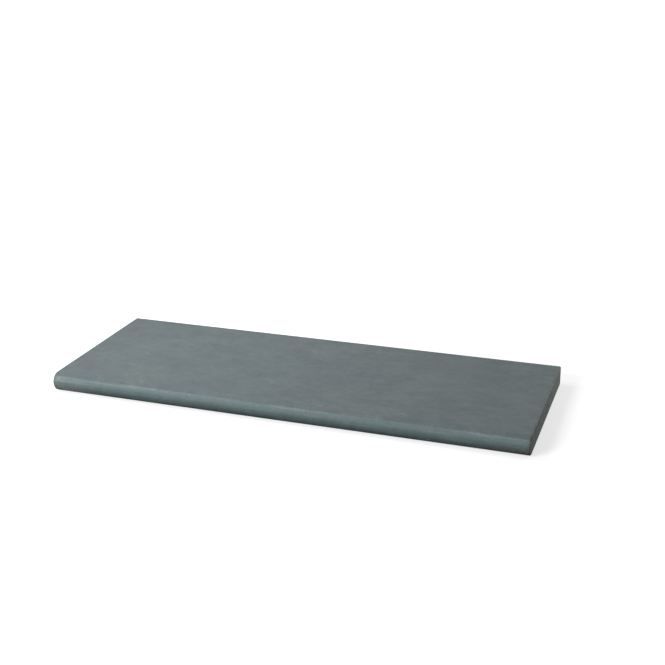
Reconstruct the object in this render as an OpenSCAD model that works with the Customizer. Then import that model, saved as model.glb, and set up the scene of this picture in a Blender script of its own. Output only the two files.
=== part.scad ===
// Precast concrete bullnose step, cast solid in one piece.
// The length runs along X, the rounded nose faces -Y and the tread face is up.
// The origin is on the plane of the underside, in the middle of the step's outline.

/* [Step] */
// Length of the step, along its nose
step_length = 1100; // [600:50:1500]
// Depth of the step, from the tip of the nose to the back face
step_depth = 400; // [250:10:500]
// Thickness of the step, from the underside to the tread face
step_thickness = 45; // [35:1:80]

/* [Nose] */
// Radius of the nose above its tip, where it runs into the tread face
nose_upper_r = 21; // [12:1:24]

/* [Edges] */
// Radius of the soft arris round the ends, the nose ends and the back edges
arris_r = 3; // [1:0.5:3.5]
// Radius of the two upright corners at the back
back_corner_r = 4; // [4:1:20]

/* [Finish] */
// Colour of the pigmented concrete
concrete_colour = "#6b777b"; // [#6b777b:Blue-grey, #8c8d84:Natural grey, #4a5053:Charcoal]

/* [Hidden] */
$fn = 96;

// The lower arc of the nose takes up what the upper arc leaves of the thickness,
// so the two arcs meet at the tip in one smooth curve.
nose_lower_r = step_thickness - nose_upper_r;
tip_z = nose_lower_r;
tip_y = -step_depth / 2;
back_y = step_depth / 2;
quarter_turn = 90;
half_turn = 180;

// Quarter of a disc that rounds one corner of a section, on the side of X that side names.
module arris_corner(side) {
    intersection() {
        circle(r = arris_r);
        translate([0, side > 0 ? 0 : -arris_r])
            square(arris_r);
    }
}

// Section that every sweep of the step uses: it starts at a plain inner edge on the Y axis,
// reaches out along X, and has the arris on its two outer corners.
module arris_section(reach, span) {
    translate([0, -span / 2])
        square([reach - arris_r, span]);
    translate([reach - arris_r, arris_r - span / 2])
        square([arris_r, span - 2 * arris_r]);
    for (side = [-1, 1])
        translate([reach - arris_r, side * (span / 2 - arris_r)])
            arris_corner(side);
}

// One quarter turn of the nose: the section swings round the arc's own axis, which lies along X.
// A start of 0 gives the arc above the tip, and a start of a quarter turn the one below it.
module nose_arc(radius, start) {
    translate([0, tip_y + radius, tip_z])
        rotate([half_turn, -quarter_turn, 0])
            rotate([0, 0, start])
                rotate_extrude(angle = quarter_turn)
                    arris_section(radius, step_length);
}

// Straight run of the slab behind one nose arc: above the level of the tip, or turned over below it.
module slab_run(radius, turn) {
    run = step_depth - radius - back_corner_r;
    translate([0, tip_y + radius, tip_z])
        rotate([0, turn, 0])
            rotate([-quarter_turn, -quarter_turn, 0])
                linear_extrude(height = run)
                    arris_section(radius, step_length);
}

// Back edge of the slab between its two corners.
module back_edge() {
    run = step_length - 2 * back_corner_r;
    translate([-run / 2, back_y - back_corner_r, step_thickness / 2])
        rotate([quarter_turn, 0, quarter_turn])
            linear_extrude(height = run)
                arris_section(back_corner_r, step_thickness);
}

// Upright back corner at the end of the step that side names, -1 for left and 1 for right.
module back_corner(side) {
    translate([side * (step_length / 2 - back_corner_r), back_y - back_corner_r, step_thickness / 2])
        rotate([0, 0, side > 0 ? 0 : quarter_turn])
            rotate_extrude(angle = quarter_turn)
                arris_section(back_corner_r, step_thickness);
}

module step_tread() {
    color(concrete_colour)
        union() {
            nose_arc(nose_upper_r, 0);
            nose_arc(nose_lower_r, quarter_turn);
            slab_run(nose_upper_r, 0);
            slab_run(nose_lower_r, half_turn);
            back_edge();
            for (side = [-1, 1])
                back_corner(side);
        }
}

step_tread();
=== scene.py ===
"""Looks of a precast concrete bullnose step: one slab cast solid, lying on a pale floor.

The slab is blocked out from a cube, its nose and corners are rounded, its arrises are eased, and its
faces are divided finely enough to carry the casting's own unevenness. Chips and air holes are cut
from it as real geometry. The concrete's colour, lines and grain are procedural.
"""

import logging
import math
import random
from collections.abc import Callable, Iterator
from contextlib import contextmanager
from dataclasses import dataclass
from enum import Enum

import bmesh
import bpy
from mathutils import Matrix, Vector

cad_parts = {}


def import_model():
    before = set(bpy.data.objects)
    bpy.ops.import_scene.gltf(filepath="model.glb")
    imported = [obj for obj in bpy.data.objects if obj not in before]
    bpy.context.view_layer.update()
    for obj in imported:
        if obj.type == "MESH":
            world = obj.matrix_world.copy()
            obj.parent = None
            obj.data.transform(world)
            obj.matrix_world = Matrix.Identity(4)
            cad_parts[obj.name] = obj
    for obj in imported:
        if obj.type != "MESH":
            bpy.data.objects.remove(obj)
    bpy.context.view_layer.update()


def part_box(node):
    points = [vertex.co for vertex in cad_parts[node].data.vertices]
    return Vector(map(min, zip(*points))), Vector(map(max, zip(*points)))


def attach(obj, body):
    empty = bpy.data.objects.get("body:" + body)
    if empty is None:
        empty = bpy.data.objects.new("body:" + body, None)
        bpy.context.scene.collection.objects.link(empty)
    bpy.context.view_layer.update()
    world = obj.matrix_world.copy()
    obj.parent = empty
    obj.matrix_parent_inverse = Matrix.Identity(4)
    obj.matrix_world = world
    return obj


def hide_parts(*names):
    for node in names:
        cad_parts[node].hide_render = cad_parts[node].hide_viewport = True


LOG = logging.getLogger("bullnose_step")
MM = 0.001
NODE = "step_tread"
BODY = "root"
# How far off a face a point may be and still count as on it
NEAR = 0.1 * MM
# How far a face has to reach past a plane for the plane to cut it
CLEAR = 0.02 * MM
# Points nearer than this are merged while the plain form is made
WELD = 0.01 * MM
# Least part of a face's normal that lies along an axis, for the face to look that way
FACING = 0.99

Socket = bpy.types.NodeSocket
Colour = tuple[float, float, float, float]
Paint = Colour | Socket
Span = tuple[float, float]
Triple = tuple[float, float, float]
EdgeTest = Callable[[bmesh.types.BMEdge], bool]
FaceTest = Callable[[bmesh.types.BMFace], bool]
PlaceTest = Callable[[Vector], bool]


def srgb(red: int, green: int, blue: int) -> Colour:
    """Turn a display colour into the linear one that a shader takes.

    Args:
        red: Red from 0 to 255.
        green: Green from 0 to 255.
        blue: Blue from 0 to 255.

    Returns:
        The linear colour with an alpha of 1.
    """
    def linear(level: int) -> float:
        """One channel's linear value."""
        share = level / 255
        return share / 12.92 if share <= 0.04045 else ((share + 0.055) / 1.055) ** 2.4

    return linear(red), linear(green), linear(blue), 1.0


# Lime that dries pale on the concrete's face; also the colour of the painted highlight along the top of the
# nose
LIME_AND_HIGHLIGHT = srgb(160, 168, 168)


def grey(level: float) -> Colour:
    """A linear grey with an alpha of 1."""
    return level, level, level, 1.0


class PickMode(Enum):
    """What edit mode selects."""

    VERTS = "VERT"
    EDGES = "EDGE"
    FACES = "FACE"


class Axis(Enum):
    """The axis that cutting planes stand across, as its place in a vector."""

    X = 0
    Y = 1
    Z = 2


def activate(obj: bpy.types.Object) -> None:
    """Select one object alone and make it the active one.

    Args:
        obj: The object that the next operators act on.
    """
    bpy.ops.object.select_all(action="DESELECT")
    obj.select_set(True)
    bpy.context.view_layer.objects.active = obj


@dataclass(frozen=True)
class Wear:
    """A cloudy pattern that a surface is sunk by.

    It has a name, the size of its features and the deepest that it sinks, both in metres, the vertex
    group that it is limited to, or all of the piece, and the pattern's contrast.
    """

    name: str
    size: float
    depth: float
    group: str = ""
    contrast: float = 1.4


@dataclass(frozen=True)
class Workpiece:
    """One mesh object with the modelling moves that this step needs."""

    obj: bpy.types.Object

    @contextmanager
    def edit(self, mode: PickMode) -> Iterator[None]:
        """Open the piece in edit mode with nothing selected, and close it after.

        Args:
            mode: What the selection holds.
        """
        activate(self.obj)
        bpy.ops.object.mode_set(mode="EDIT")
        bpy.ops.mesh.select_mode(type=mode.value)
        bpy.ops.mesh.select_all(action="DESELECT")
        try:
            yield
        finally:
            bpy.ops.object.mode_set(mode="OBJECT")

    def pick(self, mode: PickMode, test: EdgeTest | FaceTest) -> None:
        """Select the edges or faces that pass a test, and only those.

        Args:
            mode: Whether edges or faces are looked at.
            test: Says whether one is wanted.
        """
        mesh = bmesh.from_edit_mesh(self.obj.data)
        parts = mesh.faces if mode is PickMode.FACES else mesh.edges
        for part in parts:
            part.select_set(False)
        for part in [part for part in parts if test(part)]:
            part.select_set(True)
        bmesh.update_edit_mesh(self.obj.data)

    def weld(self, reach: float) -> None:
        """Merge all points that are nearer than a reach, in edit mode."""
        bpy.ops.mesh.select_all(action="SELECT")
        bpy.ops.mesh.remove_doubles(threshold=reach)

    def round_edges(self, test: EdgeTest, radius: float, parts: int) -> None:
        """Round the edges that pass a test.

        Args:
            test: Says whether an edge is wanted.
            radius: Radius of the rounding, in metres.
            parts: Number of flats that the rounding is made of.
        """
        with self.edit(PickMode.EDGES):
            self.pick(PickMode.EDGES, test)
            bpy.ops.mesh.bevel(offset=radius, segments=parts, affect="EDGES", clamp_overlap=False)
            self.weld(WELD)

    def slice(self, test: FaceTest, axis: Axis, places: list[float]) -> None:
        """Cut the faces that pass a test along planes across one axis.

        Args:
            test: Says whether a face is wanted.
            axis: The axis that the planes stand across.
            places: Where the planes lie on that axis, in metres.
        """
        normal = Vector((0, 0, 0))
        normal[axis.value] = 1
        with self.edit(PickMode.FACES):
            for place in places:
                self.pick(PickMode.FACES, lambda face: test(face) and crosses(face, axis, place))
                bpy.ops.mesh.bisect(plane_co=normal * place, plane_no=normal, threshold=WELD)

    def mark(self, name: str, test: PlaceTest) -> None:
        """Put the vertices whose places pass a test in a named vertex group."""
        wanted = [vert.index for vert in self.obj.data.vertices if test(vert.co)]
        self.obj.vertex_groups.new(name=name).add(wanted, 1.0, "REPLACE")

    def sink(self, wear: Wear) -> None:
        """Sink the surface by a pattern, never past where it starts.

        Args:
            wear: The pattern.
        """
        texture = bpy.data.textures.new(wear.name, type="CLOUDS")
        texture.noise_scale = wear.size
        texture.contrast = wear.contrast
        modifier = self.obj.modifiers.new(wear.name, "DISPLACE")
        modifier.texture = texture
        modifier.texture_coords = "LOCAL"
        modifier.mid_level = 1.0
        modifier.strength = wear.depth
        modifier.vertex_group = wear.group
        self.apply(modifier)

    def cut_by(self, tool: bpy.types.Object) -> None:
        """Cut a closed tool out of the piece, and delete the tool.

        Args:
            tool: The object whose inside is taken away.
        """
        modifier = self.obj.modifiers.new("cut", "BOOLEAN")
        modifier.operation = "DIFFERENCE"
        modifier.solver = "MANIFOLD"
        modifier.object = tool
        self.apply(modifier)
        bpy.data.objects.remove(tool)

    def apply(self, modifier: bpy.types.Modifier) -> None:
        """Apply one modifier of the piece."""
        activate(self.obj)
        bpy.ops.object.modifier_apply(modifier=modifier.name)


def crosses(face: bmesh.types.BMFace, axis: Axis, place: float) -> bool:
    """Whether a face lies on both sides of a plane across one axis."""
    reach = [vert.co[axis.value] for vert in face.verts]
    return min(reach) < place - CLEAR and max(reach) > place + CLEAR


def spread(start: float, end: float, pitch: float) -> list[float]:
    """Evenly spaced places between two ends, both left out.

    Args:
        start: One end, in metres.
        end: The other end, in metres.
        pitch: Spacing to come near to, in metres.

    Returns:
        The places, in order.
    """
    parts = max(1, round((end - start) / pitch))
    return [start + (end - start) * part / parts for part in range(1, parts)]


@dataclass
class StepSlab:
    """The cast step: its sizes in metres, its turns in radians, its mesh and its unevenness."""

    low: Vector
    high: Vector
    nose_upper_r: float = 21 * MM
    arris_r: float = 3 * MM
    corner_r: float = 4 * MM
    nose_parts: int = 12
    arris_parts: int = 4
    pitch: float = 5 * MM
    rough_pitch: float = 2.2 * MM
    end_strip: float = 14 * MM
    long_cuts: tuple[int, int] = (15, 16)
    shortest_run: float = 0.5 * MM
    run_slack: float = 0.05 * MM
    sharp_turn: float = math.radians(50)
    smooth_turn: float = math.radians(32)
    bed_band: float = 0.5 * MM
    worn_share: float = 0.585
    hole_weld: float = 0.002 * MM
    mould_wave: Wear = Wear("mould_wave", 160 * MM, 0.2 * MM)
    float_marks: Wear = Wear("float_marks", 26 * MM, 0.8 * MM, "bed")
    side_grit: Wear = Wear("side_grit", 5 * MM, 0.4 * MM, "sides")
    arris_wear: Wear = Wear("arris_wear", 7 * MM, 0.7 * MM, "arrises")

    @property
    def thickness(self) -> float:
        """Thickness from the underside to the tread face."""
        return self.high.z - self.low.z

    @property
    def nose_lower_r(self) -> float:
        """Radius of the nose below its tip."""
        return self.thickness - self.nose_upper_r

    @property
    def strip_x(self) -> float:
        """Where the finely divided strip at each end starts."""
        return self.high.x - self.end_strip

    def build(self) -> Workpiece:
        """Model the slab from a cube.

        Returns:
            The finished piece, with its chips and air holes cut.
        """
        slab = self.block_out()
        self.lay_grid(slab)
        self.cast_unevenly(slab)
        slab.cut_by(Pebbles(self).lay_out())
        with slab.edit(PickMode.VERTS):
            slab.weld(self.hole_weld)
        activate(slab.obj)
        bpy.ops.object.shade_smooth_by_angle(angle=self.smooth_turn)
        return slab

    def block_out(self) -> Workpiece:
        """Make the plain form: the block, its round nose, its corners and its arrises.

        Returns:
            The piece, closed, with few faces.
        """
        centre = (self.low + self.high) / 2
        bpy.ops.object.select_all(action="DESELECT")
        bpy.ops.mesh.primitive_cube_add(size=1, location=centre, scale=self.high - self.low)
        slab = Workpiece(bpy.context.object)
        slab.obj.name = "cast_step"
        slab.obj.data.name = "cast_step"
        bpy.ops.object.transform_apply(location=True, rotation=True, scale=True)
        slab.round_edges(self.front_edge(self.high.z), self.nose_upper_r, self.nose_parts)
        slab.round_edges(self.front_edge(self.low.z), self.nose_lower_r, self.nose_parts)
        slab.round_edges(self.upright_back, self.corner_r, self.arris_parts)
        slab.round_edges(self.sharp, self.arris_r, self.arris_parts)
        return slab

    def front_edge(self, level: float) -> EdgeTest:
        """Test for the long front edge at one height, in metres."""
        line = Vector((0, self.low.y, level))
        return lambda edge: all((vert.co - line).yz.length < NEAR for vert in edge.verts)

    def sharp(self, edge: bmesh.types.BMEdge) -> bool:
        """Whether the faces turn sharply at an edge."""
        return edge.calc_face_angle(0) > self.sharp_turn

    def upright_back(self, edge: bmesh.types.BMEdge) -> bool:
        """Whether an edge is one of the two upright ones at the back."""
        first, second = (vert.co for vert in edge.verts)
        behind = min(first.y, second.y) > self.high.y - NEAR
        return behind and abs(first.z - second.z) > self.thickness / 2

    def lay_grid(self, slab: Workpiece) -> None:
        """Divide the faces of the plain form evenly.

        Args:
            slab: The plain form.
        """
        strip = self.strip_x
        behind_nose = self.low.y + max(self.nose_upper_r, self.nose_lower_r)
        before_back = self.high.y - self.corner_r
        rows = spread(self.low.z + self.arris_r, self.high.z - self.arris_r, self.rough_pitch)
        end_rows = spread(self.low.y + self.arris_r, before_back, self.rough_pitch)
        inner = spread(strip, self.high.x - self.arris_r, self.pitch)
        slab.slice(lambda face: True, Axis.X, [-strip, strip])
        slab.slice(lambda face: True, Axis.Y, spread(behind_nose, before_back, self.pitch))
        slab.slice(lambda face: abs(face.normal.x) > FACING, Axis.Y, end_rows)
        slab.slice(lambda face: abs(face.normal.x) > FACING or face.normal.y > FACING, Axis.Z, rows)
        slab.slice(self.in_end_strip, Axis.X, inner + [-place for place in inner])
        with slab.edit(PickMode.EDGES):
            for cuts in self.long_cuts:
                slab.pick(PickMode.EDGES, self.runs_along)
                bpy.ops.mesh.subdivide(number_cuts=cuts)

    def in_end_strip(self, face: bmesh.types.BMFace) -> bool:
        """Whether a face is in the strip at one end."""
        return abs(face.calc_center_median().x) > self.strip_x

    def runs_along(self, edge: bmesh.types.BMEdge) -> bool:
        """Whether an edge lies along X between the two end strips."""
        first, second = (vert.co for vert in edge.verts)
        inside = max(abs(first.x), abs(second.x)) < self.strip_x + NEAR
        along = abs(first.x - second.x) > self.shortest_run
        return inside and along and abs(first.y - second.y) + abs(first.z - second.z) < self.run_slack

    def cast_unevenly(self, slab: Workpiece) -> None:
        """Give the faces the slight unevenness of a casting.

        Args:
            slab: The divided form.
        """
        slab.mark(self.float_marks.group, lambda place: place.z < self.low.z + self.bed_band)
        slab.mark(self.side_grit.group, self.on_sides)
        slab.mark(self.arris_wear.group, self.on_arris)
        for wear in (self.mould_wave, self.float_marks, self.side_grit, self.arris_wear):
            slab.sink(wear)

    def on_sides(self, place: Vector) -> bool:
        """Whether a place is on an end face or the back face."""
        return abs(place.x) > self.high.x - NEAR or place.y > self.high.y - NEAR

    def inset(self, place: Vector) -> float:
        """How far a place is inside the step's long section, in metres."""
        if place.z > self.low.z + self.nose_lower_r:
            radius, axis_z = self.nose_upper_r, self.high.z - self.nose_upper_r
        else:
            radius, axis_z = self.nose_lower_r, self.low.z + self.nose_lower_r
        axis_y = self.low.y + radius
        if place.y < axis_y:
            return radius - math.hypot(place.y - axis_y, place.z - axis_z)
        return min(self.high.z - place.z, place.z - self.low.z, self.high.y - place.y)

    def on_arris(self, place: Vector) -> bool:
        """Whether a place is on the ridge of a rounded arris."""
        to_end = self.high.x - abs(place.x)
        to_back = self.high.y - place.y
        to_face = min(self.high.z - place.z, place.z - self.low.z)
        off_ridge = min(max(to_end, self.inset(place)), max(to_back, to_face))
        return off_ridge < self.worn_share * self.arris_r


@dataclass(frozen=True)
class HoleSet:
    """Air holes in one face.

    It has their number, the largest radius and how much lower they sit so as to reach the uneven face,
    both in metres, and the least and most that a centre lies outside it, as shares of the radius.
    """

    count: int
    largest: float
    sink: float
    outside: Span = (0.2, 0.7)


@dataclass(frozen=True)
class ChipSet:
    """Chips in the arrises: their number, the shares on the upper arrises and at the ends, and sizes.

    The half lengths and the spare that reaches the uneven surface are in metres, the bite is a share of
    the half length, and the turn is in radians.
    """

    count: int = 70
    upper_share: float = 0.3
    end_share: float = 0.5
    upper_half: Span = (1.2 * MM, 2.6 * MM)
    lower_half: Span = (1.5 * MM, 5.0 * MM)
    bite: Span = (0.35, 0.6)
    spare: float = 0.9 * MM
    turn: float = 0.2


@dataclass
class Pebbles:
    """Lumpy cutters that leave the step's chips and air holes; gaps are in metres and turns in radians."""

    step: StepSlab
    seed: int = 45
    lump_seed: int = 3
    lump: float = 0.14
    end_holes: HoleSet = HoleSet(70, 1.7 * MM, 0.3 * MM)
    back_holes: HoleSet = HoleSet(90, 1.8 * MM, 0.3 * MM)
    nose_holes: HoleSet = HoleSet(60, 1.3 * MM, 0.2 * MM)
    tread_holes: HoleSet = HoleSet(34, 1.1 * MM, 0.2 * MM, (0.3, 0.75))
    chips: ChipSet = ChipSet()
    small_share: float = 0.3
    small_power: float = 2.5
    hole_stretch: Span = (0.85, 1.1)
    hole_turn: float = 3
    face_gap: float = 6 * MM
    tip_gap: float = 8 * MM
    back_gap: float = 5 * MM
    end_gap: float = 8 * MM
    tread_gaps: Span = (30 * MM, 8 * MM)
    chip_gap: float = 26 * MM
    lower_share: float = 0.8
    nose_turns: Span = (math.radians(5), math.radians(65))
    nose_reach: float = 0.99
    tread_reach: float = 0.98

    def __post_init__(self) -> None:
        """Start the draws and model the pebble that the cutters are copies of."""
        self.draw = random.Random(self.seed)
        bpy.ops.object.select_all(action="DESELECT")
        bpy.ops.mesh.primitive_ico_sphere_add(subdivisions=2, radius=1)
        self.pattern = Workpiece(bpy.context.object)
        with self.pattern.edit(PickMode.VERTS):
            bpy.ops.mesh.select_all(action="SELECT")
            bpy.ops.transform.vertex_random(offset=self.lump, seed=self.lump_seed)
        self.copies: list[bpy.types.Object] = []

    def lay(self, place: Vector, size: Vector, turn: float) -> None:
        """Lay one copy of the pebble.

        Args:
            place: Its centre.
            size: Its half sizes along X, Y and Z.
            turn: Turn about the upright axis before it is stretched, in radians.
        """
        copy = self.pattern.obj.copy()
        copy.data = self.pattern.obj.data.copy()
        spin = Matrix.Rotation(turn, 4, "Z") @ Matrix.Rotation(self.draw.uniform(0, math.pi), 4, "X")
        copy.data.transform(Matrix.Translation(place) @ Matrix.Diagonal(size).to_4x4() @ spin)
        bpy.context.collection.objects.link(copy)
        self.copies.append(copy)

    def lay_out(self) -> bpy.types.Object:
        """Lay all the cutters and join them.

        Returns:
            The joined cutter object.
        """
        self.hole_ends()
        self.hole_back()
        self.hole_nose()
        self.hole_tread()
        self.chip_arrises()
        bpy.data.objects.remove(self.pattern.obj)
        bpy.ops.object.select_all(action="DESELECT")
        for copy in self.copies:
            copy.select_set(True)
        bpy.context.view_layer.objects.active = self.copies[0]
        bpy.ops.object.join()
        return bpy.context.object

    def hole(self, place: Vector, radius: float) -> None:
        """Lay the cutter of one air hole."""
        size = Vector((radius, radius, radius)) * self.draw.uniform(*self.hole_stretch)
        self.lay(place, size, self.draw.uniform(0, self.hole_turn))

    def hole_radius(self, holes: HoleSet) -> float:
        """Draw the radius of an air hole: most are small."""
        spare = 1 - self.small_share
        return holes.largest * (self.small_share + spare * self.draw.random() ** self.small_power)

    def hole_centre(self, holes: HoleSet, radius: float) -> float:
        """Draw how far the centre of an air hole lies outside its face."""
        return self.draw.uniform(*holes.outside) * radius - holes.sink

    def hole_height(self) -> float:
        """Draw the height of an air hole in an upright face."""
        return self.draw.uniform(self.step.low.z + self.face_gap, self.step.high.z - self.face_gap)

    def hole_ends(self) -> None:
        """Scatter air holes over both end faces."""
        step, draw = self.step, self.draw
        for _ in range(self.end_holes.count):
            side = draw.choice((-1, 1))
            radius = self.hole_radius(self.end_holes)
            x = side * (step.high.x + self.hole_centre(self.end_holes, radius))
            y = draw.uniform(step.low.y + self.tip_gap, step.high.y - self.back_gap)
            self.hole(Vector((x, y, self.hole_height())), radius)

    def hole_back(self) -> None:
        """Scatter air holes over the back face."""
        step = self.step
        for _ in range(self.back_holes.count):
            radius = self.hole_radius(self.back_holes)
            y = step.high.y + self.hole_centre(self.back_holes, radius)
            x = self.draw.uniform(step.low.x + self.end_gap, step.high.x - self.end_gap)
            self.hole(Vector((x, y, self.hole_height())), radius)

    def hole_nose(self) -> None:
        """Scatter air holes over the nose, most of them below its tip."""
        step, draw = self.step, self.draw
        for _ in range(self.nose_holes.count):
            radius = self.hole_radius(self.nose_holes)
            lower = draw.random() < self.lower_share
            nose_r = step.nose_lower_r if lower else step.nose_upper_r
            axis_z = step.low.z + nose_r if lower else step.high.z - nose_r
            angle = draw.uniform(*self.nose_turns) * (-1 if lower else 1)
            reach = nose_r + self.hole_centre(self.nose_holes, radius)
            y = step.low.y + nose_r - reach * math.cos(angle)
            z = axis_z + reach * math.sin(angle)
            self.hole(Vector((draw.uniform(step.low.x, step.high.x) * self.nose_reach, y, z)), radius)

    def hole_tread(self) -> None:
        """Scatter a few pinholes over the tread face."""
        step, draw = self.step, self.draw
        front_gap, back_gap = self.tread_gaps
        for _ in range(self.tread_holes.count):
            radius = self.hole_radius(self.tread_holes)
            x = draw.uniform(step.low.x, step.high.x) * self.tread_reach
            y = draw.uniform(step.low.y + front_gap, step.high.y - back_gap)
            self.hole(Vector((x, y, step.high.z + self.hole_centre(self.tread_holes, radius))), radius)

    def chip_arrises(self) -> None:
        """Knock small chips off the arrises, most of them round the underside."""
        step, draw, chips = self.step, self.draw, self.chips
        for _ in range(chips.count):
            upper = draw.random() < chips.upper_share
            long_half = draw.uniform(*(chips.upper_half if upper else chips.lower_half))
            bite = draw.uniform(*chips.bite) * long_half
            z = step.high.z if upper else step.low.z
            if draw.random() < chips.end_share:
                x = draw.choice((-1, 1)) * step.high.x
                place = Vector((x, draw.uniform(step.low.y + self.chip_gap, step.high.y), z))
                size = Vector((bite, long_half, bite))
            else:
                place = Vector((draw.uniform(step.low.x, step.high.x), step.high.y, z))
                size = Vector((long_half, bite, bite))
            spare = Vector((chips.spare, chips.spare, chips.spare))
            self.lay(place, size + spare, draw.uniform(-chips.turn, chips.turn))


@dataclass(frozen=True)
class Value:
    """A number socket that takes part in Python arithmetic, which adds Math nodes to its sheet."""

    sheet: "NodeSheet"
    socket: Socket

    def maths(self, operation: str, first: "Value | float", second: "Value | float" = 0.0) -> "Value":
        """Add one Math node, and wrap its result."""
        node = self.sheet.add("ShaderNodeMath", {"operation": operation}, {0: first, 1: second})
        return Value(self.sheet, node.outputs[0])

    def __add__(self, other: "Value | float") -> "Value":
        """Sum."""
        return self.maths("ADD", self, other)

    def __radd__(self, other: float) -> "Value":
        """Sum, reflected."""
        return self.maths("ADD", other, self)

    def __sub__(self, other: "Value | float") -> "Value":
        """Difference."""
        return self.maths("SUBTRACT", self, other)

    def __rsub__(self, other: float) -> "Value":
        """Difference, reflected."""
        return self.maths("SUBTRACT", other, self)

    def __mul__(self, other: "Value | float") -> "Value":
        """Product."""
        return self.maths("MULTIPLY", self, other)

    def __rmul__(self, other: float) -> "Value":
        """Product, reflected."""
        return self.maths("MULTIPLY", other, self)

    def __abs__(self) -> "Value":
        """Size without its sign."""
        return self.maths("ABSOLUTE", self)

    def larger(self, other: "Value | float") -> "Value":
        """The larger of two values."""
        return self.maths("MAXIMUM", self, other)

    def rises(self, low: "Value | float", high: "Value | float") -> "Value":
        """Smooth step from 0 at low to 1 at high."""
        node = self.sheet.add(
            "ShaderNodeMapRange",
            {"interpolation_type": "SMOOTHSTEP"},
            {"Value": self, "From Min": low, "From Max": high},
        )
        return Value(self.sheet, node.outputs["Result"])

    def falls(self, low: "Value | float", high: "Value | float") -> "Value":
        """Smooth step from 1 at low to 0 at high."""
        return 1 - self.rises(low, high)


@dataclass(frozen=True)
class Veil:
    """A thin layer: where it starts and is full on what it follows, and how strongly it then shows."""

    low: float
    high: float
    share: float

    def over(self, guide: Value) -> Value:
        """Its strength, rising with a guide."""
        return guide.rises(self.low, self.high) * self.share

    def under(self, guide: Value) -> Value:
        """Its strength, falling as a guide rises."""
        return guide.falls(self.low, self.high) * self.share


@dataclass(frozen=True)
class Pattern:
    """A noise: features for each metre, finer layers, their strength, and a stretch along each axis."""

    scale: float
    detail: float
    rough: float = 0.5
    stretch: Triple | None = None


@dataclass(frozen=True)
class Stones:
    """Stones in the concrete.

    It has the cells for each metre, the share of the cells that hold a stone, the largest radius as a
    share of a cell, and how much shows on a smooth face and is added on a rough one.
    """

    scale: float
    held: float
    radius: float
    smooth_show: float
    rough_show: float
    stretch: Triple = (1, 1, 1)
    blur: float = 0.01
    smallest: float = 0.45
    soft: float = 0.6
    wobbles: float = 1.3
    push: float = 0.45

    def shown(self, where: Value, rough: Value) -> Value:
        """How strongly the stones show, from where they are and how rough the face is."""
        return where * (self.smooth_show + rough * self.rough_show)


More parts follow.
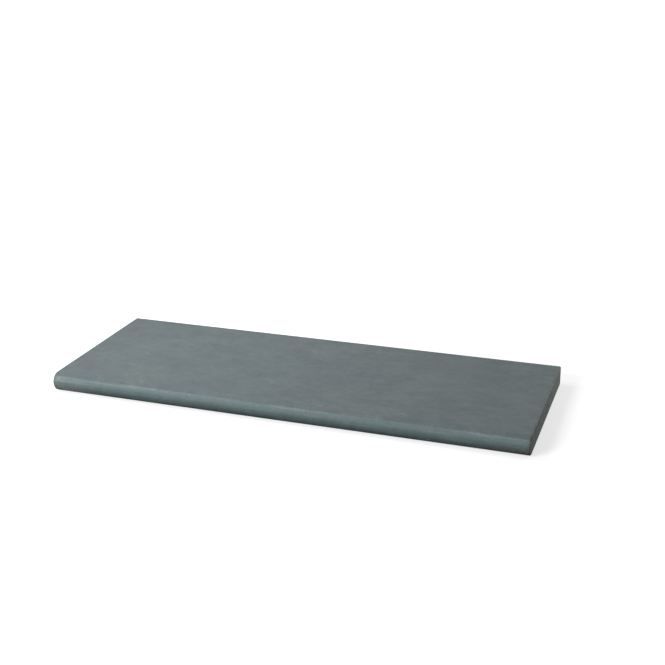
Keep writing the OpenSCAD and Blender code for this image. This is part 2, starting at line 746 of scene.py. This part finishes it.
class NodeSheet:
    """A material's or world's node tree, with one method that adds nodes."""

    def __init__(self, tree: bpy.types.NodeTree) -> None:
        """Empty a tree to start on."""
        self.tree = tree
        tree.nodes.clear()

    def add(self, kind: str, settings: dict | None = None, inputs: dict | None = None) -> bpy.types.Node:
        """Add one node.

        Args:
            kind: The node's type.
            settings: Its own properties, set first.
            inputs: Values, sockets or Values for its inputs, by name or number.

        Returns:
            The node.
        """
        node = self.tree.nodes.new(kind)
        for name, setting in (settings or {}).items():
            setattr(node, name, setting)
        for key, given in (inputs or {}).items():
            if isinstance(given, Value):
                given = given.socket
            if isinstance(given, Socket):
                self.tree.links.new(given, node.inputs[key])
            else:
                node.inputs[key].default_value = given
        return node

    def value(self, socket: Socket) -> Value:
        """Wrap a number output."""
        return Value(self, socket)

    def split(self, vector: Socket) -> tuple[Value, ...]:
        """A vector's X, Y and Z."""
        parts = self.add("ShaderNodeSeparateXYZ", None, {0: vector}).outputs
        return tuple(self.value(part) for part in parts)

    def blend(self, share: Value | float, first: Paint, second: Paint, how: str = "MIX") -> Socket:
        """Mix two colours.

        Args:
            share: How much of the second shows.
            first: A colour or a colour socket.
            second: A colour or a colour socket.
            how: The blend type.

        Returns:
            The mixed colour's socket.
        """
        settings = {"data_type": "RGBA", "blend_type": how, "clamp_factor": True}
        node = self.add("ShaderNodeMix", settings, {0: share, 6: first, 7: second})
        return node.outputs[2]

    def stretch(self, vector: Socket, scale: Triple) -> Socket:
        """Scale a vector along each axis."""
        node = self.add("ShaderNodeVectorMath", {"operation": "MULTIPLY"}, {0: vector, 1: scale})
        return node.outputs[0]

    def noise(self, vector: Socket, pattern: Pattern) -> Value:
        """Add a noise texture.

        Args:
            vector: Coordinates that it reads.
            pattern: What it looks like.

        Returns:
            Its value, about 0.5 on average.
        """
        if pattern.stretch:
            vector = self.stretch(vector, pattern.stretch)
        inputs = {"Scale": pattern.scale, "Detail": pattern.detail, "Roughness": pattern.rough}
        return self.value(self.add("ShaderNodeTexNoise", None, {"Vector": vector, **inputs}).outputs[0])

    def warp(self, vector: Socket, scale: float, reach: float) -> Socket:
        """Push coordinates about, so that what reads them has uneven outlines.

        Args:
            vector: The coordinates.
            scale: Wobbles for each metre.
            reach: Farthest that a point is pushed, in metres.

        Returns:
            The pushed coordinates.
        """
        push = self.add("ShaderNodeTexNoise", None, {"Vector": vector, "Scale": scale, "Detail": 2.0})
        middle = {0: push.outputs["Color"], 1: (0.5, 0.5, 0.5)}
        centred = self.add("ShaderNodeVectorMath", {"operation": "SUBTRACT"}, middle)
        inputs = {0: centred.outputs[0], 1: (2 * reach, 2 * reach, 2 * reach), 2: vector}
        return self.add("ShaderNodeVectorMath", {"operation": "MULTIPLY_ADD"}, inputs).outputs[0]

    def scatter(self, vector: Socket, stones: Stones) -> tuple[Value, Value]:
        """Scatter stones with uneven outlines and different tones.

        Args:
            vector: Coordinates that they follow.
            stones: What they are like.

        Returns:
            Where the stones are, from 0 to 1, and each stone's tone, from 0 to 1.
        """
        along = self.stretch(vector, stones.stretch)
        uneven = self.warp(along, stones.scale * stones.wobbles, stones.push / stones.scale)
        cells = self.add("ShaderNodeTexVoronoi", None, {"Vector": uneven, "Scale": stones.scale})
        chances = self.add("ShaderNodeSeparateColor", None, {"Color": cells.outputs["Color"]}).outputs
        empty = 1 - stones.held
        held = self.value(chances[0]).rises(empty - stones.blur, empty + stones.blur)
        edge = (self.value(chances[1]) * (1 - stones.smallest) + stones.smallest) * stones.radius
        inside = self.value(cells.outputs["Distance"]).falls(edge * stones.soft, edge)
        return held * inside, self.value(chances[2])


@dataclass(frozen=True)
class Fades:
    """Where the step's finishes give way to one another: the start and end of each fade, in metres.

    The rough shares say how much of the cast sides' roughness the other zones take on.
    """

    nose: Span = (7.4 * MM, 8.6 * MM)
    near_nose: Span = (10 * MM, 70 * MM)
    nose_end: Span = (8 * MM, 160 * MM)
    nose_foot: Span = (13 * MM, 30 * MM)
    below_tip: Span = (6 * MM, 22 * MM)
    sides: Span = (0.6 * MM, 1.8 * MM)
    bed: Span = (0.6 * MM, 1.6 * MM)
    end_rim: Span = (2 * MM, 9 * MM)
    back_rim: Span = (2 * MM, 7 * MM)
    wander: Pattern = Pattern(14, 3)
    wander_reach: float = 1.2 * MM
    ragged: Pattern = Pattern(160, 3, 0.6)
    ragged_reach: float = 3.5 * MM
    rough_below_tip: float = 0.35
    rough_rim: float = 0.5
    rough_foot: float = 0.8


@dataclass(frozen=True)
class CastGrain:
    """The patterns that more than one layer of the concrete follows."""

    lines: Pattern = Pattern(1, 4, 0.6, (4, 200, 200))
    grain: Pattern = Pattern(420, 3, 0.6)
    mottle: Pattern = Pattern(60, 5, 0.6)
    clouds: Pattern = Pattern(6, 5, 0.55)


class StepMap:
    """The step's zones as masks from 0 to 1, with the patterns that its finishes share."""

    def __init__(self, sheet: NodeSheet, step: StepSlab, fades: Fades, grain: CastGrain) -> None:
        """Lay the map over a step.

        Args:
            sheet: The material's nodes.
            step: The slab, whose box places the zones.
            fades: Where the zones meet.
            grain: The shared patterns.
        """
        self.sheet = sheet
        self.place = sheet.add("ShaderNodeTexCoord").outputs["Object"]
        self.lines = sheet.noise(self.place, grain.lines)
        self.grain = sheet.noise(self.place, grain.grain)
        self.mottle = sheet.noise(self.place, grain.mottle)
        self.clouds = sheet.noise(self.place, grain.clouds)

        self.x, y, z = sheet.split(self.place)
        wander = (sheet.noise(self.place, fades.wander) - 0.5) * fades.wander_reach
        ragged = (sheet.noise(self.place, fades.ragged) - 0.5) * fades.ragged_reach
        to_end = step.high.x - abs(self.x) + ragged
        to_back = step.high.y - y + ragged
        self.from_tip = y - step.low.y + wander
        self.height = z - step.low.z

        self.on_nose = self.from_tip.falls(*fades.nose)
        self.near_nose = self.from_tip.falls(*fades.near_nose)
        self.on_sides = to_end.falls(*fades.sides).larger(to_back.falls(*fades.sides))
        self.on_bed = self.height.falls(*fades.bed)
        self.rim = to_end.falls(*fades.end_rim).larger(to_back.falls(*fades.back_rim))
        # The foot of the nose near each end: rougher, and in the nose's colour paler grey, partly painted
        # bounce light
        self.nose_foot = self.on_nose * to_end.falls(*fades.nose_end) * self.height.falls(*fades.nose_foot)
        below_tip = self.on_nose * self.height.falls(*fades.below_tip)
        rough = self.on_sides.larger(self.on_bed).larger(below_tip * fades.rough_below_tip)
        self.rough = rough.larger(self.rim * fades.rough_rim).larger(self.nose_foot * fades.rough_foot)


@dataclass(frozen=True)
class TreadFinish:
    """The tread face: blue-grey, with pale clouds and cooler drifts."""

    base: Colour = srgb(110, 121, 123)
    pale: Colour = srgb(118, 128, 128)
    cool: Colour = srgb(102, 113, 117)
    pale_clouds: Veil = Veil(0.38, 0.68, 0.7)
    drift: Pattern = Pattern(15, 5, 0.62, (1, 1.7, 1))
    cool_drifts: Veil = Veil(0.4, 0.66, 0.75)

    def colour(self, step: StepMap) -> Socket:
        """Colour of the tread.

        Args:
            step: The map of the step.

        Returns:
            The colour's socket.
        """
        sheet = step.sheet
        colour = sheet.blend(self.pale_clouds.over(step.clouds), self.base, self.pale)
        drift = sheet.noise(step.place, self.drift)
        return sheet.blend(self.cool_drifts.over(drift), colour, self.cool)


@dataclass(frozen=True)
class NoseFinish:
    """The nose: steel-smooth and blue-green; paler upwards, partly by painted shade low down; a painted
    highlight along its top that fades to the right; a greyer foot at each end, partly painted bounce light.
    """

    base: Colour = srgb(98, 115, 117)
    pale: Colour = srgb(114, 133, 135)
    # Greyer foot of the nose near each end: partly rough cast concrete, partly painted bounce light from
    # below
    greyer_foot_and_bounce: Colour = srgb(114, 119, 114)
    # Paler upwards: partly the nose's own finish, partly painted shade that darkens the nose below its tip
    paler_upwards_and_shade: Veil = Veil(10 * MM, 30 * MM, 0.85)
    # Painted highlight: a pale band along the top of the nose, broken by clouds, weaker towards the right
    # end as the light falls off
    painted_highlight: Veil = Veil(4.2 * MM, 5.6 * MM, 0.24)
    painted_highlight_clouds: Span = (0.38, 0.6)
    painted_highlight_fade: Veil = Veil(-100 * MM, 160 * MM, 0.75)
    lines: Veil = Veil(0.48, 0.68, 0.26)
    greyer_foot_and_bounce_share: float = 0.8

    def colour(self, step: StepMap) -> Socket:
        """Colour of the nose.

        Args:
            step: The map of the step.

        Returns:
            The colour's socket.
        """
        sheet = step.sheet
        # Painted highlight along the top of the nose, fading towards the right end
        painted_highlight = self.painted_highlight.over(step.from_tip) * step.clouds.rises(*self.painted_highlight_clouds)
        painted_highlight = painted_highlight * (1 - self.painted_highlight_fade.over(step.x))
        # Darker towards the bottom of the nose: partly its finish, partly painted shade under the tip
        colour = sheet.blend(self.paler_upwards_and_shade.over(step.height), self.base, self.pale)
        colour = sheet.blend(painted_highlight + self.lines.over(step.lines), colour, LIME_AND_HIGHLIGHT)
        # Paler grey at the foot of the nose near each end, partly cast concrete and partly painted bounce
        # light
        return sheet.blend(step.nose_foot * self.greyer_foot_and_bounce_share, colour, self.greyer_foot_and_bounce)


@dataclass(frozen=True)
class PaleMarks:
    """Pale marks of lime: streaks along the nose, flecks, and slanting smears over the tread."""

    lines: Veil = Veil(0.54, 0.74, 0.084)
    fine: Pattern = Pattern(1, 3, 0.6, (14, 520, 520))
    fine_lines: Veil = Veil(0.56, 0.76, 0.084)
    fleck: Pattern = Pattern(1, 3, 0.6, (38, 90, 90))
    flecks: Veil = Veil(0.6, 0.76, 0.16)
    nose_gain: float = 1.25
    smear: Pattern = Pattern(1, 5, 0.7, (11, 34, 11))
    smears: Veil = Veil(0.62, 0.76, 0.3)
    slant: float = 0.6

    def over(self, step: StepMap, colour: Socket) -> Socket:
        """Lay the marks over a colour.

        Args:
            step: The map of the step.
            colour: The colour under them.

        Returns:
            The colour's socket.
        """
        sheet = step.sheet
        streaks = self.lines.over(step.lines) + self.fine_lines.over(sheet.noise(step.place, self.fine))
        flecks = self.flecks.over(sheet.noise(step.place, self.fleck))
        flecks = flecks * (1 + step.near_nose * self.nose_gain)
        colour = sheet.blend(streaks * (step.near_nose + step.on_nose) + flecks, colour, LIME_AND_HIGHLIGHT)
        turn = {"Vector": step.place, "Angle": self.slant}
        slanted = sheet.add("ShaderNodeVectorRotate", {"rotation_type": "Z_AXIS"}, turn).outputs[0]
        return sheet.blend(self.smears.over(sheet.noise(slanted, self.smear)), colour, LIME_AND_HIGHLIGHT)


@dataclass(frozen=True)
class SideFinish:
    """The ends and the back, as the mould left them: greyer, with warm and pale patches."""

    base: Colour = srgb(119, 129, 122)
    warm: Colour = srgb(101, 104, 94)
    pale: Colour = srgb(137, 147, 141)
    patch: Pattern = Pattern(34, 4, 0.7)
    warm_patches: Veil = Veil(0.5, 0.66, 0.8)
    pale_patches: Veil = Veil(0.34, 0.48, 0.7)

    def colour(self, step: StepMap) -> Socket:
        """Colour of the sides.

        Args:
            step: The map of the step.

        Returns:
            The colour's socket.
        """
        patches = step.sheet.noise(step.place, self.patch)
        colour = step.sheet.blend(self.warm_patches.over(patches), self.base, self.warm)
        return step.sheet.blend(self.pale_patches.under(patches), colour, self.pale)


@dataclass(frozen=True)
class Aggregate:
    """Sand and gravel, which show where the concrete was cast or floated and hardly on its smooth faces."""

    dark: Colour = srgb(70, 76, 73)
    pale_gravel: Colour = srgb(150, 152, 142)
    gravel_tones: Span = (0.2, 0.8)
    sand: Stones = Stones(400, 0.6, 0.62, 0.04, 0.55)
    gravel: Stones = Stones(150, 0.34, 0.58, 0.02, 0.75, (1.07, 0.96, 1.03))

    def over(self, step: StepMap, colour: Socket) -> tuple[Socket, Value]:
        """Strew the stones over a colour.

        Args:
            step: The map of the step.
            colour: The colour round them.

        Returns:
            The colour's socket, and where the sand is.
        """
        sheet = step.sheet
        sand, sand_tone = sheet.scatter(step.place, self.sand)
        gravel, gravel_tone = sheet.scatter(step.place, self.gravel)
        sand_colour = sheet.blend(sand_tone, self.dark, LIME_AND_HIGHLIGHT)
        gravel_colour = sheet.blend(gravel_tone.rises(*self.gravel_tones), self.dark, self.pale_gravel)
        colour = sheet.blend(self.sand.shown(sand, step.rough), colour, sand_colour)
        return sheet.blend(self.gravel.shown(gravel, step.rough), colour, gravel_colour), sand


@dataclass(frozen=True)
class Tint:
    """Light and dark grain that multiplies the colour: its base, and how much each pattern adds."""

    base: float = 0.37
    mottle: float = 0.46
    grain: float = 0.8
    rough_grain: float = 0.5

    def over(self, step: StepMap, colour: Socket) -> Socket:
        """Tint a colour.

        Args:
            step: The map of the step.
            colour: The colour before it.

        Returns:
            The colour's socket.
        """
        tint = self.base + step.mottle * self.mottle + step.grain * self.grain
        tint = tint + (step.grain - 0.5) * step.rough * self.rough_grain
        shade = step.sheet.add("ShaderNodeCombineColor", None, {0: tint, 1: tint, 2: tint})
        return step.sheet.blend(1.0, colour, shade.outputs[0], "MULTIPLY")


@dataclass(frozen=True)
class Relief:
    """Heights of the finest relief, in metres."""

    grain: float = 0.08 * MM
    mottle: float = 0.1 * MM
    sand: float = 0.2 * MM
    lines: float = 0.05 * MM
    coarse: float = 0.5 * MM
    coarse_grain: Pattern = Pattern(260, 4, 0.65)

    def normal(self, step: StepMap, sand: Value) -> Socket:
        """Turn the relief into a bump.

        Args:
            step: The map of the step.
            sand: Where the sand is.

        Returns:
            The bumped normal's socket.
        """
        coarse = step.sheet.noise(step.place, self.coarse_grain)
        height = step.grain * self.grain + step.mottle * self.mottle - sand * step.rough * self.sand
        height = height + step.lines * step.on_nose * self.lines + coarse * step.rough * self.coarse
        bump = step.sheet.add("ShaderNodeBump", None, {"Strength": 1.0, "Distance": 1.0, "Height": height})
        return bump.outputs[0]


@dataclass(frozen=True)
class Concrete:
    """Pigmented concrete, steel-smooth on the tread and nose and rougher where it was cast or floated."""

    fades: Fades = Fades()
    patterns: CastGrain = CastGrain()
    tread: TreadFinish = TreadFinish()
    nose: NoseFinish = NoseFinish()
    marks: PaleMarks = PaleMarks()
    sides: SideFinish = SideFinish()
    aggregate: Aggregate = Aggregate()
    tint: Tint = Tint()
    relief: Relief = Relief()
    worn: Colour = srgb(109, 121, 119)
    worn_share: float = 0.6
    bed: Colour = srgb(122, 127, 125)
    roughness: float = 0.62
    mottled_roughness: float = 0.16
    cast_roughness: float = 0.2
    nose_polish: float = 0.06
    sheen: float = 0.3

    def build(self, step: StepSlab) -> bpy.types.Material:
        """Build the material for a step.

        Args:
            step: The slab, whose sizes place the finishes.

        Returns:
            The material.
        """
        material = bpy.data.materials.new("pigmented_concrete")
        material.use_nodes = True
        sheet = NodeSheet(material.node_tree)
        zones = StepMap(sheet, step, self.fades, self.patterns)
        colour = sheet.blend(zones.on_nose, self.tread.colour(zones), self.nose.colour(zones))
        colour = self.marks.over(zones, colour)
        colour = sheet.blend(zones.rim * self.worn_share, colour, self.worn)
        colour = sheet.blend(zones.on_sides, colour, self.sides.colour(zones))
        colour = sheet.blend(zones.on_bed, colour, self.bed)
        colour, sand = self.aggregate.over(zones, colour)
        inputs = {
            "Base Color": self.tint.over(zones, colour),
            "Roughness": self.shine(zones),
            "Normal": self.relief.normal(zones, sand),
            "Specular IOR Level": self.sheen,
        }
        shader = sheet.add("ShaderNodeBsdfPrincipled", None, inputs)
        sheet.add("ShaderNodeOutputMaterial", None, {"Surface": shader.outputs[0]})
        return material

    def shine(self, zones: StepMap) -> Value:
        """How rough the surface is to light: least on the nose and most where it was cast."""
        mottled = self.roughness + (zones.mottle - 0.5) * self.mottled_roughness
        return mottled + zones.rough * self.cast_roughness - zones.on_nose * self.nose_polish


@dataclass(frozen=True)
class Floor:
    """The pale floor: its side in metres and its greys.

    The camera sees it nearly white. It throws little light up at the step, and more past the bounce
    fade at the left end. The glow fade is how far out it turns quite white, in metres.
    """

    size: float = 30
    seen: float = 0.9
    under: float = 0.09
    left: float = 0.5
    bounce_fade: Span = (-520 * MM, -420 * MM)
    near_glow: float = 0.6
    glow_fade: Span = (750 * MM, 1600 * MM)

    def build(self) -> None:
        """Lay the floor, which shows white to the camera and keeps the step's shadow."""
        bpy.ops.object.select_all(action="DESELECT")
        bpy.ops.mesh.primitive_plane_add(size=self.size)
        floor = bpy.context.object
        floor.name = "floor"
        floor.data.materials.append(self.material())

    def material(self) -> bpy.types.Material:
        """Build the floor's material.

        Returns:
            The material.
        """
        material = bpy.data.materials.new("pale_floor")
        material.use_nodes = True
        sheet = NodeSheet(material.node_tree)
        seen = sheet.value(sheet.add("ShaderNodeLightPath").outputs["Is Camera Ray"])
        place = sheet.add("ShaderNodeTexCoord").outputs["Object"]
        length = sheet.add("ShaderNodeVectorMath", {"operation": "LENGTH"}, {0: place})
        away = sheet.value(length.outputs["Value"])
        across = sheet.split(place)[0]
        bounce = sheet.blend(across.rises(*self.bounce_fade), grey(self.left), grey(self.under))
        pale = sheet.blend(seen, bounce, grey(self.seen))
        matt = sheet.add("ShaderNodeBsdfDiffuse", None, {"Color": pale})
        lift = seen * (self.near_glow + away.rises(*self.glow_fade) * (1 - self.near_glow))
        glow = sheet.add("ShaderNodeEmission", None, {"Color": grey(1), "Strength": lift})
        both = sheet.add("ShaderNodeAddShader", None, {0: matt.outputs[0], 1: glow.outputs[0]})
        sheet.add("ShaderNodeOutputMaterial", None, {"Surface": both.outputs[0]})
        return material


@dataclass(frozen=True)
class Lamp:
    """A soft square lamp: its name, where it hangs, what it points at, its side in metres and its watts."""

    name: str
    place: Triple
    aim: Triple
    size: float
    power: float

    def build(self) -> None:
        """Hang the lamp."""
        lamp = bpy.data.lights.new(self.name, "AREA")
        lamp.size = self.size
        lamp.energy = self.power
        holder = bpy.data.objects.new(self.name, lamp)
        bpy.context.scene.collection.objects.link(holder)
        holder.location = self.place
        holder.rotation_euler = (Vector(self.aim) - Vector(self.place)).to_track_quat("-Z", "Y").to_euler()


@dataclass(frozen=True)
class Camera:
    """The camera where the photograph was taken from.

    It has its focal length and the frame's side in pixels, its place in metres and its turns in radians.
    """

    focal_px: float = 1114.27
    frame_px: float = 665
    eye: Triple = (0.85503, -2.2042, 1.03136)
    yaw: float = -0.3446
    down: float = 0.3618
    roll: float = -0.015

    def build(self) -> None:
        """Stand the camera in its place."""
        data = bpy.data.cameras.new("camera")
        data.lens = self.focal_px / self.frame_px * data.sensor_width
        holder = bpy.data.objects.new("camera", data)
        bpy.context.scene.collection.objects.link(holder)
        turn = Matrix.Rotation(-self.yaw, 4, "Z") @ Matrix.Rotation(math.pi / 2 - self.down, 4, "X")
        holder.matrix_world = Matrix.Translation(self.eye) @ turn @ Matrix.Rotation(self.roll, 4, "Z")
        bpy.context.scene.camera = holder


@dataclass(frozen=True)
class Studio:
    """The pale floor, the soft light from all round, the lamps and the camera."""

    floor: Floor = Floor()
    key: Lamp = Lamp("key", (-0.5, 0.05, 0.95), (-0.5, 0.05, 0), 0.9, 4.9)
    front: Lamp = Lamp("front", (-1.5, -3.0, 1.6), (0, 0, 0), 1.5, 76)
    fill: Lamp = Lamp("fill", (1.1, 1.3, 0.18), (0.55, 0, 0.02), 0.3, 8.5)
    camera: Camera = Camera()
    sky_light: float = 0.18

    def build(self) -> None:
        """Set up the stage, the lamps, the world and the camera."""
        self.floor.build()
        self.light_world()
        for lamp in (self.key, self.front, self.fill):
            lamp.build()
        self.camera.build()
        bpy.context.scene.view_settings.view_transform = "Standard"

    def light_world(self) -> None:
        """Light evenly from all round, and show white behind the step."""
        world = bpy.data.worlds.new("studio")
        bpy.context.scene.world = world
        world.use_nodes = True
        sheet = NodeSheet(world.node_tree)
        path = sheet.add("ShaderNodeLightPath")
        seen = sheet.value(path.outputs["Is Camera Ray"]).larger(sheet.value(path.outputs["Is Glossy Ray"]))
        seen = seen.larger(sheet.value(path.outputs["Is Transmission Ray"]))
        strength = self.sky_light + seen * (1 - self.sky_light)
        sky = sheet.add("ShaderNodeBackground", None, {"Color": grey(1), "Strength": strength})
        sheet.add("ShaderNodeOutputWorld", None, {"Surface": sky.outputs[0]})


def main() -> None:
    """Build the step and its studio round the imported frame."""
    logging.basicConfig(level=logging.INFO, format="%(name)s: %(message)s")
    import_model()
    step = StepSlab(*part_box(NODE))
    slab = step.build()
    slab.obj.data.materials.clear()
    slab.obj.data.materials.append(Concrete().build(step))
    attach(slab.obj, BODY)
    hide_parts(NODE)
    LOG.info("%s: %d faces", slab.obj.name, len(slab.obj.data.polygons))
    Studio().build()


if __name__ == "__main__":
    main()
